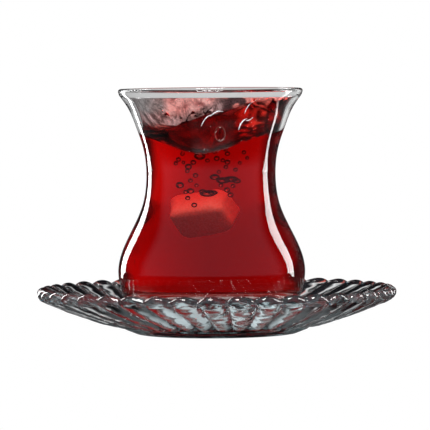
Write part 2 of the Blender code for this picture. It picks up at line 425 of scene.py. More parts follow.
def fill(tree, socket, value):
    """Link a socket to a node's output, or set it to a number or colour."""
    if isinstance(value, bpy.types.NodeSocket):
        tree.links.new(value, socket)
    elif socket.type == "RGBA":
        socket.default_value = (*value, 1.0)
    else:
        socket.default_value = value


def fill_node(tree, node, **values):
    """Fill a node's sockets and settings; an underscore stands for a socket name's space."""
    for key, value in values.items():
        socket = node.inputs.get(key.replace("_", " "))
        if socket is None:
            setattr(node, key, value)
        else:
            fill(tree, socket, value)


def add_node(tree, kind, **values):
    """A node with some of its sockets or settings filled in."""
    node = tree.nodes.new(kind)
    fill_node(tree, node, **values)
    return node


def add_texture(tree, kind, **values):
    """A texture that is fixed to the object."""
    place = add_node(tree, "ShaderNodeTexCoord").outputs["Object"]
    return add_node(tree, kind, Vector=place, **values)


def ranged(tree, value, old, new, kind="LINEAR"):
    """A value taken from an old (low, high) range to a new one."""
    node = add_node(tree, "ShaderNodeMapRange", interpolation_type=kind, Value=value)
    fill_node(tree, node, From_Min=old[0], From_Max=old[1], To_Min=new[0], To_Max=new[1])
    return node.outputs["Result"]


def mixed(tree, share, first, second, kind="MIX"):
    """Colour that goes from the first to the second, or to a product of both, by a share."""
    node = add_node(tree, "ShaderNodeMix", data_type="RGBA", blend_type=kind)
    for index, value in ((0, share), (6, first), (7, second)):
        fill(tree, node.inputs[index], value)
    return node.outputs[2]


def math_node(tree, operation, first, second=0.0):
    """One sum on two values, each a number or a node's output."""
    node = add_node(tree, "ShaderNodeMath", operation=operation)
    fill(tree, node.inputs[0], first)
    fill(tree, node.inputs[1], second)
    return node.outputs["Value"]


def stepped(tree, value, low, high):
    """0 up to low and 1 from high, or the other way where low is above high."""
    new = (0.0, 1.0) if low < high else (1.0, 0.0)
    return ranged(tree, value, (min(low, high), max(low, high)), new, "SMOOTHSTEP")


def color_ramp(tree, value, stops, reach):
    """Colour by a value through (value, colour) stops."""
    node = add_node(tree, "ShaderNodeValToRGB", Fac=math_node(tree, "DIVIDE", value, reach))
    elements = node.color_ramp.elements
    for element, (position, color) in ((elements[0], stops[0]), (elements[1], stops[-1])):
        element.position = position / reach
        element.color = (*color, 1.0)
    for position, color in stops[1:-1]:
        elements.new(position / reach).color = (*color, 1.0)
    return node.outputs["Color"]


def vector_node(tree, operation, first, second=(0.0, 0.0, 0.0)):
    """Outputs of one sum on a vector, or on two."""
    node = add_node(tree, "ShaderNodeVectorMath", operation=operation)
    fill(tree, node.inputs[0], first)
    fill(tree, node.inputs[1], second)
    return node.outputs


def gone_through(tree):
    """1 in rays that have gone through the whole glass, 0 in others."""
    path = add_node(tree, "ShaderNodeLightPath")
    return math_node(tree, "GREATER_THAN", path.outputs["Transmission Depth"], INNER_DEPTH)


# Materials

# Painted glow of the sugar, brighter as if lit from above: on its underside and on its top
SUGAR_PAINTED_GLOW = (0.12, 1.1)

# Painted highlight glow on the wave's crests: least and most
CREST_GLOW = (0.02, 0.52)

# How strongly each body bends light; a bubble is air inside tea
GLASS_IOR = 1.5
SAUCER_IOR = 1.52
TEA_IOR = 1.333
BUBBLE_IOR = 0.75

# Tints of the clear bodies: colour, and absorption for each metre
GLASS_TINT = ((0.86, 0.95, 0.93), 14.0)
SAUCER_TINT = ((0.70, 0.90, 0.93), 22.0)
TEA_TINT = ((0.930, 0.16, 0.06), 224.0)

# Colours of the painted highlight on the crests and of the crests themselves
CREST_LIGHT = (0.84, 0.88, 0.93)
CREST_COLOR = (0.80, 0.82, 0.85)

# Colours of the painted shade on the bubbles' edges, of the sugar's grains and of the gaps between
# them
BUBBLE_EDGE_SHADE = (0.05, 0.04, 0.04)
SUGAR_GRAIN = (0.95, 0.93, 0.90)
SUGAR_GAP = (0.75, 0.66, 0.60)


def add_roughness(tree, shader, scale, low, high):
    """Faint uneven polish: roughness between two values by a soft noise."""
    speck = add_texture(tree, "ShaderNodeTexNoise", Scale=scale, Detail=2.0).outputs["Fac"]
    fill_node(tree, shader, Roughness=ranged(tree, speck, (0.0, 1.0), (low, high)))


def add_bump(tree, shader, height, strength, distance):
    """Fine relief by the height that a texture gives."""
    relief = add_node(tree, "ShaderNodeBump", Strength=strength, Distance=distance, Height=height)
    fill_node(tree, shader, Normal=relief.outputs["Normal"])


def make_clear(tree, shader, ior):
    """Set a Principled shader to a clear colourless body."""
    fill_node(tree, shader, Base_Color=(1.0, 1.0, 1.0), Transmission_Weight=1.0, IOR=ior)


def add_absorption(tree, output, color, density):
    """A clear coloured body, deeper in colour where it is thicker."""
    volume = add_node(tree, "ShaderNodeVolumeAbsorption", Color=color, Density=density)
    fill_node(tree, output, Volume=volume.outputs["Volume"])


def add_vanishing(tree, shader, output, share):
    """Let the surface vanish for some rays, such as second images of it inside the glass."""
    gone = add_node(tree, "ShaderNodeBsdfTransparent")
    both = add_node(tree, "ShaderNodeMixShader")
    for socket, value in zip(both.inputs, (share, shader.outputs["BSDF"], gone.outputs["BSDF"])):
        fill(tree, socket, value)
    fill_node(tree, output, Surface=both.outputs["Shader"])


def cup_glass_material():
    """Thin blown glass, almost colourless."""
    material, tree, shader, output = new_material("cup_glass")
    dry = add_node(tree, "ShaderNodeAttribute", attribute_name="dry").outputs["Color"]
    fill_node(tree, shader, Specular_Tint=dry)
    make_clear(tree, shader, GLASS_IOR)
    add_roughness(tree, shader, 120.0, 0.0, 0.012)
    add_absorption(tree, output, *GLASS_TINT)
    return material


def saucer_glass_material():
    """Pressed glass with a cool tint and a slightly wavy fire-polished surface."""
    material, tree, shader, output = new_material("saucer_glass")
    make_clear(tree, shader, SAUCER_IOR)
    add_roughness(tree, shader, 160.0, 0.03, 0.08)
    wave = add_texture(tree, "ShaderNodeTexNoise", Scale=200.0, Detail=1.0).outputs["Fac"]
    add_bump(tree, shader, wave, 0.3, 0.5 * MM)
    add_absorption(tree, output, *SAUCER_TINT)
    add_vanishing(tree, shader, output, gone_through(tree))
    return material


def tea_material():
    """Clear red tea, whose colour comes only from its depth."""
    material, tree, shader, output = new_material("tea_liquid")
    fill_node(tree, shader, Specular_Tint=(0.0, 0.0, 0.0))
    make_clear(tree, shader, TEA_IOR)
    add_roughness(tree, shader, 90.0, 0.0, 0.006)
    add_absorption(tree, output, *TEA_TINT)
    return material


def bubble_material():
    """Air in tea: light leaves the denser tea as it enters; painted shade darkens its edges."""
    material, tree, shader, output = new_material("air_bubble")
    tree.nodes.remove(shader)
    # Painted shade: the bubble darkens towards its edges
    facing = add_node(tree, "ShaderNodeLayerWeight", Blend=0.6).outputs["Facing"]
    tint = mixed(tree, facing, (1.0, 1.0, 1.0), BUBBLE_EDGE_SHADE)
    glass = add_node(tree, "ShaderNodeBsdfGlass", Roughness=0.0, IOR=BUBBLE_IOR, Color=tint)
    fill_node(tree, output, Surface=glass.outputs["BSDF"])
    return material


def sugar_material():
    """Pressed sugar grains, soaked with tea, with a painted glow that is brighter on the upward faces.
    """
    material, tree, shader, output = new_material("wet_sugar")
    grain = add_texture(tree, "ShaderNodeTexVoronoi", Scale=1500.0).outputs["Distance"]
    color = color_ramp(tree, grain, ((0.0, SUGAR_GRAIN), (0.8, SUGAR_GAP)), 1.0)
    add_bump(tree, shader, grain, 0.3, 0.4 * MM)
    normal = add_node(tree, "ShaderNodeNewGeometry").outputs["Normal"]
    upward = add_node(tree, "ShaderNodeSeparateXYZ", Vector=normal).outputs["Z"]
    # Painted light: the sugar glows, brighter on its upward faces
    glow = ranged(tree, upward, (-0.4, 0.9), SUGAR_PAINTED_GLOW, "SMOOTHSTEP")
    fill_node(tree, shader, Base_Color=color, Roughness=0.6)
    fill_node(tree, shader, Emission_Color=color, Emission_Strength=glow)
    path = add_node(tree, "ShaderNodeLightPath")
    add_vanishing(tree, shader, output, path.outputs["Glossy Depth"])
    return material


def veil_material():
    """Painted shade and light over the moving surface, on a clear sheet that light crosses."""
    material, tree, shader, output = new_material("tea_painted_shade")
    tree.nodes.remove(shader)
    shade = add_node(tree, "ShaderNodeAttribute", attribute_name="shade").outputs["Color"]
    shade_noise = add_texture(tree, "ShaderNodeTexNoise", Scale=520.0, Detail=4.0, Distortion=1.2)
    spread = ranged(tree, shade_noise.outputs["Fac"], (0.3, 0.7), (0.6, 1.3))
    scaled = add_node(tree, "ShaderNodeVectorMath", operation="SCALE", Vector=shade, Scale=spread)
    clear = add_node(tree, "ShaderNodeBsdfTransparent", Color=scaled.outputs["Vector"])
    fill_node(tree, output, Surface=clear.outputs["BSDF"])
    return material


def crest_material():
    """Painted highlight: a glowing rolled edge of the wave, in place of the softbox's reflection in
    it.
    """
    material, tree, shader, output = new_material("painted_crest_highlight")
    fleck = add_texture(tree, "ShaderNodeTexNoise", Scale=700.0, Detail=2.0).outputs["Fac"]
    # Painted highlight: the crests glow in flecks
    glow = ranged(tree, fleck, (0.35, 0.65), CREST_GLOW)
    fill_node(tree, shader, Emission_Color=CREST_LIGHT, Emission_Strength=glow)
    fill_node(tree, shader, Base_Color=CREST_COLOR, Roughness=0.25)
    return material


# Glass


def make_glass(material):
    """The waisted glass with its bead and thick base."""
    profile = bowl_profile(28)
    for height in np.linspace(BOWL_TOP, RIM_HEIGHT, 70):
        profile.append((float(inner_radius(height)), height))
    bead_radius = RIM_RADIUS - BEAD_RADIUS + BEAD_OUT
    bead_height = GLASS_HEIGHT - BEAD_RADIUS
    for degrees in np.linspace(170.0, -20.0, 16):
        angle = math.radians(degrees)
        radius = bead_radius + BEAD_RADIUS * math.cos(angle)
        profile.append((radius, bead_height + BEAD_RADIUS * math.sin(angle)))
    for height in np.linspace(RIM_HEIGHT - 0.4, BELLY_HEIGHT, 70):
        profile.append((float(outer_radius(height)), height))
    for degrees in np.linspace(4.0, 84.0, 22):
        height = BELLY_HEIGHT * (1.0 - math.sin(math.radians(degrees)))
        profile.append((float(outer_radius(height)), height))
    for degrees in np.linspace(0.0, 90.0, 5):
        angle = math.radians(degrees)
        profile.append((BASE_RADIUS - 0.3 * math.sin(angle), 0.05 * math.cos(angle)))
    ledge = BASE_RECESS_RADIUS + 1.2
    profile.append((ledge, 0.0))
    for share in np.linspace(0.1, 1.0, 8):
        profile.append((ledge - 1.6 * share, BASE_RECESS * float(smooth_step(share))))
    profile.append((8.0, BASE_RECESS))
    profile.append((0.0, BASE_RECESS))
    verts, faces = turned_grid(profile, 192)
    glass = object_from("tea_glass", verts, faces, material)
    radius = np.hypot(verts[:, 0], verts[:, 1])
    degrees = np.degrees(np.arctan2(verts[:, 1], verts[:, 0]))
    dry = radius >= outer_radius(np.clip(verts[:, 2], 0.0, RIM_HEIGHT)) - 0.5 * WALL
    dry |= verts[:, 2] <= BASE_RECESS + 1.0
    dry |= verts[:, 2] >= tea_edge(degrees)
    paint(glass, "dry", dry[:, None])
    return settle(glass, "cup_glass", "glass")


# Tea


def tea_edge(degrees):
    """Height at which the tea meets the wall in each direction."""
    height = np.full_like(degrees, TEA_LEVEL)
    for direction, half_width, swell in TEA_SWELLS:
        height = height + swell * np.exp(-((turn_away(degrees, direction) / half_width) ** 2))
    return np.minimum(height, TEA_HIGHEST)


def noise_at(x, y, z, scale):
    """Smooth noise from -1 to 1 at points in mm; scale is the size of a feature in mm."""
    points = np.stack([x, y, z], axis=-1).reshape(-1, 3) / scale
    values = [noise.noise(Vector(point)) for point in points]
    return np.array(values).reshape(np.shape(x))


def ridge(x, y, start, bend, end, width):
    """1 along a curved crest from start to end, fading over a width."""
    best = np.full_like(x, 1e9)
    for t in np.linspace(0.0, 1.0, 24):
        along_x, along_y = bent(start, bend, end, t)
        best = np.minimum(best, (x - along_x) ** 2 + (y - along_y) ** 2)
    return np.exp(-best / width**2)


def tea_top(x, y, degrees):
    """Height of the moving surface over points of the glass's plan."""
    edge = tea_edge(degrees)
    share = np.minimum(np.hypot(x, y) / inner_radius(edge), 1.0)
    middle = TEA_MIDDLE + TEA_TILT * x
    height = middle + (edge - middle) * share**TEA_WALL_POWER
    for rise, start, bend, end, width in TEA_RIDGES:
        height += rise * ridge(x, y, start, bend, end, width)
    free = 1.0 - share**8.0
    rough = 0.35 + 0.65 * grown(x, -6.0, 14.0)
    height += free * rough * TEA_CHOP[0] * noise_at(x, y, 0.0 * x, TEA_CHOP[1])
    height += free * TEA_HEAVE[0] * noise_at(x, y, 0.0 * x + 9.0, TEA_HEAVE[1])
    return height


def sagged(x, lowest, left, right):
    """How far streaks lie above where they hang lowest."""
    return np.where(x < lowest, left, right) * (x - lowest) ** 2


def film_thickness(arc, height):
    """Thickness of the film on the wall, in hanging streaks like a curtain's folds."""
    streak = noise_at(height - sagged(arc, *STREAK_SAG), arc * 0.12, 0.0 * arc, 1.3)
    lump = noise_at(arc, height, 0.0 * arc + 5.0, 3.4)
    thick = FILM_MEAN + FILM_STREAKS * streak + FILM_LUMPS * lump
    return FILM_THINNEST + grown(arc, -24.0, 8.0) * thick


def top_rings():
    """Rings of the tea's top and of the film on the wall, from the middle out."""
    degrees = np.linspace(0.0, 360.0, TEA_SEGMENTS, endpoint=False)
    angles = np.radians(degrees)
    film_share = grown(np.abs(turn_away(degrees, FILM_DIRECTION)), FILM_HALF_WIDTH, -FILM_FADE)
    edge = tea_edge(degrees)
    ragged = noise_at(np.cos(angles) * 9.0, np.sin(angles) * 9.0, 0.0 * angles, 1.8)
    film_top = edge + np.maximum(FILM_TOP + FILM_RAGGED * ragged - edge, 0.0) * film_share
    reach = inner_radius(film_top) + TEA_REACH
    shares = 1.0 - (1.0 - np.linspace(0.0, 1.0, TEA_TOP_RINGS + 1)[1:]) ** 1.7
    rings = []
    for share in shares:
        radius = reach * share
        x = radius * np.cos(angles)
        y = radius * np.sin(angles)
        height = tea_top(x, y, degrees)
        film = wall_height(radius + 0.8)
        for _ in range(FILM_ROUNDS):
            film = wall_height(radius + np.maximum(film_thickness(x, film), 0.12))
        film = np.where(film_share > 0.0, np.minimum(film, film_top), 0.0)
        height = np.maximum(height, film)
        if share == shares[-1]:
            height = film_top
        rings.append(np.stack([x, y, np.minimum(height, film_top + 0.6)], axis=-1))
    return angles, film_top, rings


def make_tea(material):
    """Tea up to its wave, with the thin film that it leaves on the wall behind."""
    angles, film_top, rings = top_rings()
    for share in np.linspace(0.0, 1.0, 40)[1:]:
        height = film_top + (TEA_EVEN_HEIGHT - film_top) * share
        rings.append(ring_points(angles, inner_radius(height) + TEA_REACH, height))
    for height in np.linspace(TEA_EVEN_HEIGHT, BOWL_TOP, 16)[1:]:
        rings.append(ring_points(angles, inner_radius(height) + TEA_REACH, height))
    for radius, height in reversed(bowl_profile(26)[1:]):
        rings.append(ring_points(angles, radius + TEA_REACH, height - TEA_REACH))
    middle = np.zeros(1)
    top_height = float(tea_top(middle, middle, middle)[0])
    flat = [(0.0, top_height)] + [(1.0, 0.0)] * len(rings) + [(0.0, BOWL_FLOOR - TEA_REACH)]
    verts, faces = turned_grid(flat, TEA_SEGMENTS)
    verts[:-2] = np.concatenate(rings)
    tea = object_from("red_tea", verts, faces, material)
    return settle(tea, "tea_liquid", "tea")


def blend(low, high, share):
    """Colours between two, by a share for each point."""
    share = np.clip(share, 0.0, 1.0)[:, None]
    return np.array(low) * (1.0 - share) + np.array(high) * share


def veil_shade(x, y, z):
    """Colour of the veil: painted shade, dark in the wave, greyer and streaked on the wall behind, and
    painted light where it goes above 1.
    """
    above = z - sagged(x, *VEIL_SAG)
    streak = noise_at(above, x * 0.10, 0.0 * x, 0.9)
    lump = noise_at(x, z, 0.0 * x + 5.0, 3.0)
    wave = blend(*WAVE_SHADES, 0.5 + 0.9 * noise_at(x, y, z, 5.0))
    fleck = noise_at(x, y + 20.0, z, 2.6)
    lit = blend(*FLECK_SHADES, smooth_step(0.5 + 1.5 * fleck))
    wave = blend(wave, lit, grown(x, *LIT_RIGHT))
    wave = blend(wave, 0.7 * lit, grown(x, *LIT_LEFT))
    film = blend(*FILM_SHADES, smooth_step(0.35 + 1.6 * streak))
    lumps = blend(*LUMP_SHADES, smooth_step(0.7 + 1.4 * lump))
    film = blend(film, lumps, grown(above, *FILM_HIGH))
    film = blend(film, BARE_SHADE, grown(x, *BARE_LEFT) * grown(z, *BARE_HIGH))
    brighter = 0.55 * grown(x, *BRIGHT_RIGHT)
    right = blend(*RIGHT_SHADES, smooth_step((lump - 0.12 + brighter) / 0.3))
    back = blend(film, right, grown(x, *BACK_RIGHT))
    near_wall = grown(np.hypot(x, y) / inner_radius(z), 0.72, 0.16)
    return blend(wave, back, near_wall * grown(y, *BACK_HALF))


def make_veil(material):
    """A clear sheet just over the tea's top that carries painted shade and light."""
    rings = top_rings()[2]
    points = np.concatenate(rings)
    radius = np.hypot(points[:, 0], points[:, 1])
    height = points[:, 2] + VEIL_LIFT
    inward = np.maximum(radius - VEIL_LIFT, 0.5 * radius)
    points = points * np.stack([inward / radius, inward / radius, height / points[:, 2]], axis=-1)
    faces = ring_quads(len(rings), TEA_SEGMENTS)
    faces.append(list(range(TEA_SEGMENTS)))
    veil = object_from("tea_painted_shade", points, faces, material)
    # Painted shade and light: dark over the wave, brighter flecks and lumps
    paint(veil, "shade", veil_shade(*points.T))
    return settle(veil, "tea_liquid")


def wave_point(column, row):
    """The first point of the wave from the front that shows at a pixel."""
    y = np.linspace(-24.0, 24.0, 241)
    x = np.full_like(y, px_x(column))
    z = px_z(row)
    over = tea_top(x, y, np.degrees(np.arctan2(y, x))) > z
    first = int(np.argmax(over)) if over.any() else len(y) // 2
    return np.array([x[first], y[first], z])


def make_crests(material):
    """Painted highlights: the wave's glowing rolled edges, as one joined piece."""
    verts = []
    faces = []
    for start, bend, end, thickness in CRESTS:
        shares = np.linspace(0.0, 1.0, CREST_STEPS)
        path = np.array([wave_point(*bent(start, bend, end, t)) for t in shares])
        path[:, 1] = np.convolve(np.pad(path[:, 1], 3, mode="edge"), np.ones(7) / 7.0, mode="valid")
        along = np.gradient(path, axis=0)
        first = len(verts)
        for index, (centre, tangent) in enumerate(zip(path, along)):
            side = Vector(tangent).normalized().cross(Vector((0.0, -1.0, 0.0))).normalized()
            front = Vector(tangent).normalized().cross(side)
            size = thickness * max(math.sin(math.pi * index / (CREST_STEPS - 1)), 0.04) ** 0.6
            size *= 1.0 + 0.5 * noise.noise(Vector(centre) / 1.2)
            for corner in range(CREST_SIDES):
                angle = math.tau * corner / CREST_SIDES
                spot = Vector(centre) + (side * math.cos(angle) + front * math.sin(angle)) * size
                verts.append(tuple(spot))
        for index in range(CREST_STEPS - 1):
            for corner in range(CREST_SIDES):
                a = first + index * CREST_SIDES + corner
                b = first + index * CREST_SIDES + (corner + 1) % CREST_SIDES
                faces.append((a, b, b + CREST_SIDES, a + CREST_SIDES))
        faces.append([first + corner for corner in reversed(range(CREST_SIDES))])
        last = first + (CREST_STEPS - 1) * CREST_SIDES
        faces.append([last + corner for corner in range(CREST_SIDES)])
    crests = object_from("wave_crests", verts, faces, material)
    return settle(crests, "tea_liquid")


def make_drop(material):
    """A drop of tea that the wave has thrown up, just in front of it."""
    column, row = DROP_PX
    centre = wave_point(column, row + 4.0)
    centre[2] = px_z(row)
    centre[1] -= DROP_SIZE[1] + DROP_GAP
    unit, faces = ball(24, 32)
    drop = object_from("tea_drop", unit * np.array(DROP_SIZE) + centre, faces, material)
    return settle(drop, "tea_liquid")


# Sugar and bubbles


def make_sugar(material):
    """A rounded lump of sugar, tilted as it sinks."""
    grid = np.linspace(-1.0, 1.0, SUGAR_STEPS + 1)
    verts = []
    index = {}
    faces = []
    for axis in range(3):
        for side in (-1.0, 1.0):
            for i in range(SUGAR_STEPS):
                for j in range(SUGAR_STEPS):
                    corners = []
                    for a, b in ((i, j), (i + 1, j), (i + 1, j + 1), (i, j + 1)):
                        point = [0.0, 0.0, 0.0]
                        point[axis] = side
                        point[(axis + 1) % 3] = grid[a]
                        point[(axis + 2) % 3] = grid[b]
                        key = tuple(round(value, 4) for value in point)
                        if key not in index:
                            index[key] = len(verts)
                            verts.append(point)
                        corners.append(index[key])
                    faces.append(corners if side > 0.0 else corners[::-1])
    cube = np.array(verts) * SUGAR_SIZE / 2.0
    limit = SUGAR_SIZE / 2.0 - SUGAR_CORNER
    core = np.clip(cube, -limit, limit)
    away = cube - core
    length = np.linalg.norm(away, axis=1, keepdims=True)
    points = core + away / length * SUGAR_CORNER
    grain = noise_at(points[:, 0], points[:, 1], points[:, 2], 1.1)
    lumps = noise_at(points[:, 0], points[:, 1], points[:, 2] + 30.0, 4.5)
    points = points + away / length * (SUGAR_GRAINS * grain + SUGAR_LUMPS * lumps)[:, None]
    column, row = SUGAR_PX
    x = GLASS_AXIS_X + px_x(column) * MM / LENS_WIDENING
    place = (x, 0.0, GLASS_BASE_Z + px_z(row) * MM)
    sugar = object_from("sugar_lump", points, faces, material, place)
    sugar.rotation_euler = Euler([math.radians(degrees) for degrees in SUGAR_TILT_DEG])
    return settle(sugar, "tea_liquid")


# Bubbles: (column, row, radius in mm, depth in mm in front of the axis, flattening), all
# enlarged by the same factor
BUBBLE_SCALE = 1.9
BUBBLES = [
    (179.0, 157.0, 0.45, 14.0, 1.0), (200.5, 153.0, 1.0, 16.0, 0.8), (194.0, 160.0, 0.5, 14.0, 1.0),
    (189.0, 164.5, 0.6, 12.0, 1.0), (188.0, 169.0, 0.4, 12.0, 1.0), (196.0, 173.6, 0.45, 11.0, 1.0),
    (180.0, 184.0, 0.7, 10.0, 0.9), (191.0, 190.0, 0.6, 12.0, 0.9), (188.0, 197.5, 0.45, 12.0, 1.0),
    (194.6, 205.0, 0.5, 13.0, 1.0), (217.0, 156.0, 0.5, 15.0, 1.0), (223.0, 158.0, 0.4, 14.0, 1.0),
    (227.6, 151.0, 0.45, 15.0, 1.0), (227.6, 160.0, 0.5, 14.0, 1.0), (226.0, 165.0, 0.4, 14.0, 1.0),
    (235.7, 168.0, 0.4, 12.0, 1.0), (215.0, 175.5, 0.8, 12.0, 0.7), (223.0, 179.0, 1.1, 13.0, 0.55),
    (231.0, 178.0, 1.2, 12.0, 0.5), (237.0, 180.0, 0.7, 11.0, 0.7), (208.0, 193.0, 1.3, 11.0, 0.5),
    (213.0, 192.0, 0.8, 12.0, 0.6), (227.0, 189.0, 0.5, 13.0, 1.0), (230.5, 194.5, 0.5, 12.0, 1.0),
    (244.5, 150.0, 0.4, 14.0, 1.0), (248.0, 156.0, 0.35, 14.0, 1.0), (183.0, 151.0, 0.4, 13.0, 1.0),
    (176.0, 161.0, 0.4, 14.0, 1.0), (206.0, 149.5, 0.45, 13.0, 1.0), (208.0, 158.0, 0.4, 13.0, 1.0),
    (184.0, 160.0, 0.35, 13.0, 1.0), (191.0, 179.0, 0.4, 12.0, 1.0), (197.0, 184.0, 0.35, 12.0, 1.0),
    (203.0, 190.5, 0.6, 12.0, 0.7), (221.0, 184.0, 0.4, 12.0, 1.0), (219.0, 170.0, 0.35, 13.0, 1.0),
    (233.0, 185.0, 0.4, 12.0, 1.0), (240.0, 161.0, 0.35, 13.0, 1.0), (186.0, 191.0, 0.4, 12.0, 1.0),
]


def ball(rings, segments):
    """A unit ball as rings: vertices and faces."""
    profile = [(0.0, 1.0)]
    for index in range(1, rings):
        angle = math.pi * index / rings
        profile.append((math.sin(angle), math.cos(angle)))
    profile.append((0.0, -1.0))
    return turned_grid(profile, segments)


def make_bubbles(material):
    """Air bubbles that rise from the lump, as one joined piece."""
    unit, unit_faces = ball(10, 16)
    verts = []
    faces = []
    for column, row, radius, depth, flat in BUBBLES:
        height = px_z(row)
        wall = float(inner_radius(height))
        pull = TEA_IOR / (TEA_IOR - (TEA_IOR - 1.0) * (wall - depth) / wall)
        centre = np.array([px_x(column) / pull, -depth, height])
        start = len(verts)
        radius = radius * BUBBLE_SCALE
        verts.extend((unit * np.array([radius, radius, radius * flat]) + centre).tolist())
        faces.extend([[start + corner for corner in face] for face in unit_faces])
    bubbles = object_from("air_bubbles", verts, faces, material)
    return settle(bubbles, "tea_liquid")


# Saucer


def dish_underside(radius):
    """Height of the ribs' crests under the dish."""
    out = radius - FOOT_TOP_RADIUS
    return FOOT_HEIGHT + DISH_SLOPE * out + DISH_CURVE * out * out


def saucer_profile():
    """Section of the saucer, without its ribs."""
    profile = [(radius, WELL_TOP) for radius in (0.0, 9.0, 17.0, 22.0)]
    for radius in np.linspace(WELL_RADIUS, RIM_TOP_RADIUS - 0.3, 30):
        profile.append((radius, float(spline_values(DISH_TOP, np.array([radius]))[0])))
    edge_depth = SAUCER_RADIUS - RIM_TOP_RADIUS
    for degrees in np.linspace(88.0, 0.0, 9):
        angle = math.radians(degrees)
        rise = (RIM_TOP - RIM_EDGE_HEIGHT) * math.sin(angle)
        profile.append((RIM_TOP_RADIUS + edge_depth * math.cos(angle), RIM_EDGE_HEIGHT + rise))
    profile.extend(EDGE_SECTION)
    for radius in np.linspace(RIM_UNDERSIDE_RADIUS, FOOT_TOP_RADIUS, 44):
        profile.append((radius, dish_underside(radius)))
    for share in np.linspace(0.15, 0.9, 6):
        radius = FOOT_TOP_RADIUS + (FOOT_RADIUS - FOOT_TOP_RADIUS) * share
        profile.append((radius, FOOT_HEIGHT * (1.0 - share)))
    return profile + FOOT_SECTION + WELL_SECTION


def make_saucer(material):
    """The pressed saucer: swirling ribs that end in the scalloped rim."""
    verts, faces = turned_grid(saucer_profile(), LOBES * STEPS_PER_LOBE)
    x, y, z = verts.T
    radius = np.hypot(x, y)
    angle = np.arctan2(y, x)
    out = np.clip((radius - FOOT_TOP_RADIUS) / (SAUCER_RADIUS - FOOT_TOP_RADIUS), 0.0, None)
    rise = smooth_step((radius - FOOT_TOP_RADIUS) / (RIB_START_RADIUS - FOOT_TOP_RADIUS))
    lobe = np.sin(math.pi * ((angle / math.tau * LOBES) % 1.0) ** RIB_LEAN)
    notch = 1.0 - lobe
    rim_share = smooth_step((radius - LOBE_START_RADIUS) / (SAUCER_RADIUS - LOBE_START_RADIUS))
    end = np.clip((radius - RIB_START_RADIUS) / RIB_END_LENGTH, 0.0, 1.0)
    rib = lobe**RIB_ROUNDNESS * np.sqrt(1.0 - (1.0 - end) ** 2)
    under = z < dish_underside(radius) + 0.5
    uneven = RIB_UNEVEN * (noise_at(x, y, z, 3.6) + 0.4 * noise_at(x, y, z + 40.0, 2.0))
    lift_under = rise * (RIB_DEPTH * (1.0 - rib) + uneven + 0.5 * RIB_UNEVEN)
    lift_top = -notch * (INNER_RIB_DEPTH * rise + NOTCH_DROP * rim_share)
    lift = np.where(radius < FOOT_RADIUS, 0.0, np.where(under, lift_under, lift_top))
    turned = angle + math.radians(RIB_SWIRL_DEG) * out
    reach = radius - notch * NOTCH_DEPTH * rim_share
    shaped = np.stack([reach * np.cos(turned), reach * np.sin(turned), z + lift], axis=-1)
    saucer = object_from("ribbed_saucer", shaped, faces, material, (0.0, 0.0, 0.0))
    return settle(saucer, "saucer_glass", "saucer")


# Studio

# The floor as the glass shows it, in front, at the sides and behind: (distance from the
# saucer's axis in metres, colour)
# Its dark stops are painted shade round the saucer, its pale and red rings painted light, the red that
# of the tea
DARK = (0.015, 0.015, 0.018)
PALE = (0.82, 0.92, 0.95)
WHITE = (0.95, 0.95, 0.95)
FLOOR_REACH = 0.2
FLOOR_FRONT = [
    (0.0, DARK), (0.031, DARK), (0.034, PALE), (0.046, PALE), (0.050, DARK), (0.10, DARK),
    (0.14, WHITE),
]
FLOOR_SIDE = [
    (0.0, DARK), (0.037, DARK), (0.041, PALE), (0.044, PALE), (0.050, (0.40, 0.05, 0.03)),
    (0.075, (0.55, 0.08, 0.05)), (0.090, DARK), (0.115, DARK), (0.15, WHITE),
]
FLOOR_BACK = [
    (0.0, DARK), (0.045, DARK), (0.058, (0.60, 0.05, 0.03)), (0.10, (0.80, 0.14, 0.10)),
    (0.15, WHITE),
]

# Where the sides fade in and out, and where the back fades in, as the sine of the direction
SIDE_START = (-0.40, -0.20)
SIDE_END = (0.50, 0.30)
BACK_START = (0.93, 0.97)

# The floor's half width, and how far it lies under the saucer's foot, in metres
FLOOR_HALF = 6.0
FLOOR_DROP = 0.0002

# Brightness behind the glass from left to right: (share across, brightness)
BACK_GLOW = [
    (0.0, 0.08), (0.20, 0.08), (0.29, 0.72), (0.5, 0.60), (0.68, 1.0), (0.76, 1.0), (0.84, 0.12),
]

# Tall strips of light at both sides: (name, direction in degrees, width in metres)
STRIPS = [("left_strip", -140.0, 0.22), ("right_strip", 113.0, 0.20)]
STRIP_DISTANCE = 0.72
STRIP_HEIGHT = 0.30
STRIP_LENGTH = 0.66
STRIP_RADIANCE = 9.0

# Strips of light on the floor: where they fade in and out, and how fast they narrow
# towards the glass
STRIP_START = (0.10, 0.17)
STRIP_END = (0.88, 0.85)
STRIP_TAPER = 1.8

# Softbox above the glass, and the height at which all the lights aim, in metres
TOP_BOX_DISTANCE = 0.25
TOP_BOX_HEIGHT = 0.9
TOP_BOX_SIZE = 0.34
TOP_BOX_RADIANCE = 24.0
AIM_HEIGHT = 0.045

# The world as the glass shows it: the sine of the elevation where it darkens, and its two levels
SKY_EDGE = (0.28, 0.46)
SKY_LOW = (1.0, 1.0, 1.0)
SKY_HIGH = (0.06, 0.06, 0.06)

# Floor and world straight to the camera
DIRECT_WHITE = (1.0, 1.0, 1.0)

# The dim room that reflections show on the camera's side, where it ends as the sine of the
# direction, and the distance from which it covers the floor
MIRRORED_ROOM = (0.28, 0.28, 0.35)
MIRRORED_END = (0.25, -0.10)
MIRRORED_FLOOR = (0.16, 0.50)

# Soft light in rays that have gone through the whole glass, its share, and the light in those
# that the glass has also reflected
INNER_LIGHT = (0.80, 0.76, 0.74)
INNER_SHARE = 0.6
BOUNCED_LIGHT = (0.42, 0.40, 0.39)


